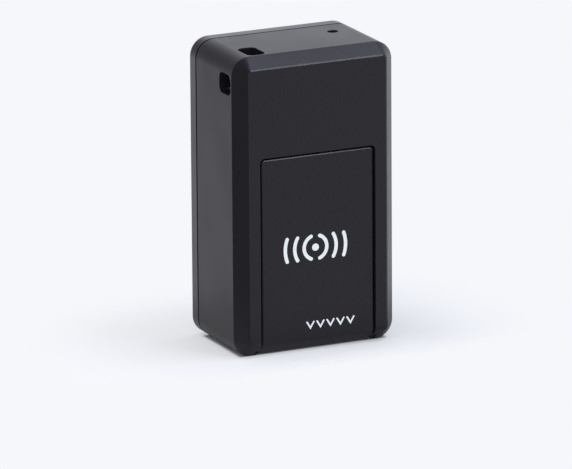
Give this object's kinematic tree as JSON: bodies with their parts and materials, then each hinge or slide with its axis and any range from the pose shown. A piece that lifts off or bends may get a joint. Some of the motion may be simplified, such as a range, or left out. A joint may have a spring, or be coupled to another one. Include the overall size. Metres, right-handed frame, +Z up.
{
  "type": "magnetic gps tracker",
  "caption": "Small box-shaped tracker with a bevelled face, a slide cover over its card sockets, a lanyard loop, a charging port and magnets in its back.",
  "frame": {"origin": "centre of the case's outline on the surface it stands on, its bottom end", "axes": "+Z up the case's height, -Y out of the face with the slide cover, +X to the right seen from the face"},
  "size_m": [0.0246, 0.0156, 0.043],
  "materials": {
    "case_black": "fine moulded texture, satin black ABS",
    "cover_black": "fine moulded texture, satin black ABS",
    "board_green": "green solder mask over glass epoxy",
    "socket_steel": "stamped stainless steel",
    "socket_plastic": "black moulded polymer",
    "gold_contact": "gold plated",
    "card_white": "white card stock, satin",
    "card_black": "black moulded card",
    "switch_plastic": "dark moulded polymer",
    "button_white": "white moulded polymer",
    "lamp_lens": "clear epoxy over white",
    "can_aluminium": "drawn can",
    "boot_rubber": "moulded rubber",
    "wire_red": "silicone insulation",
    "wire_black": "silicone insulation",
    "chip_epoxy": "black epoxy",
    "ceramic_tan": "ceramic with tinned ends",
    "shield_tin": "tin plated steel",
    "film_amber": "amber polyimide film",
    "cell_foil": "laminated foil pouch",
    "sheet_cream": "barley paper",
    "tape_white": "adhesive tape",
    "magnet_nickel": "nickel plated neodymium",
    "screw_steel": "zinc plated"
  },
  "bodies": {
    "root": {"front_shell": "case_black", "back_shell": "case_black", "circuit_board": "board_green", "sim_cage": "socket_steel", "sim_base": "socket_plastic", "sim_contacts": "gold_contact", "memory_cage": "socket_steel", "memory_base": "socket_plastic", "switch_housing": "switch_plastic", "status_lights": "lamp_lens", "usb_shell": "socket_steel", "usb_tongue": "socket_plastic", "microphone": "can_aluminium", "microphone_boot": "boot_rubber", "microphone_leads": "wire_red", "processor_chip": "chip_epoxy", "memory_chips": "chip_epoxy", "crystal": "can_aluminium", "passives": "ceramic_tan", "radio_shield": "shield_tin", "antenna_film": "film_amber", "antenna_springs": "gold_contact", "battery_cell": "cell_foil", "battery_board": "film_amber", "battery_lead_red": "wire_red", "battery_lead_black": "wire_black", "insulating_sheet": "sheet_cream", "battery_tape": "tape_white", "magnets": "magnet_nickel", "case_screws": "screw_steel"},
    "cover": {"slide_cover": "cover_black"},
    "subscriber_card": {"sim_card": "card_white"},
    "storage_card": {"memory_card": "card_black"},
    "button": {"power_button": "button_white"}
  },
  "joints": [
    {"name": "cover_slide", "type": "slide", "parent": "root", "child": "cover", "axis": [0, 0, -1], "range_m": [0, 0.027]},
    {"name": "sim_card_slide", "type": "slide", "parent": "root", "child": "subscriber_card", "axis": [0, 0, -1], "range_m": [0, 0.0065]},
    {"name": "memory_card_slide", "type": "slide", "parent": "root", "child": "storage_card", "axis": [0, 0, -1], "range_m": [0, 0.0062]},
    {"name": "button_press", "type": "slide", "parent": "root", "child": "button", "axis": [0, 1, 0], "range_m": [0, 0.00025], "stiffness_N_per_m": 2000}
  ]
}
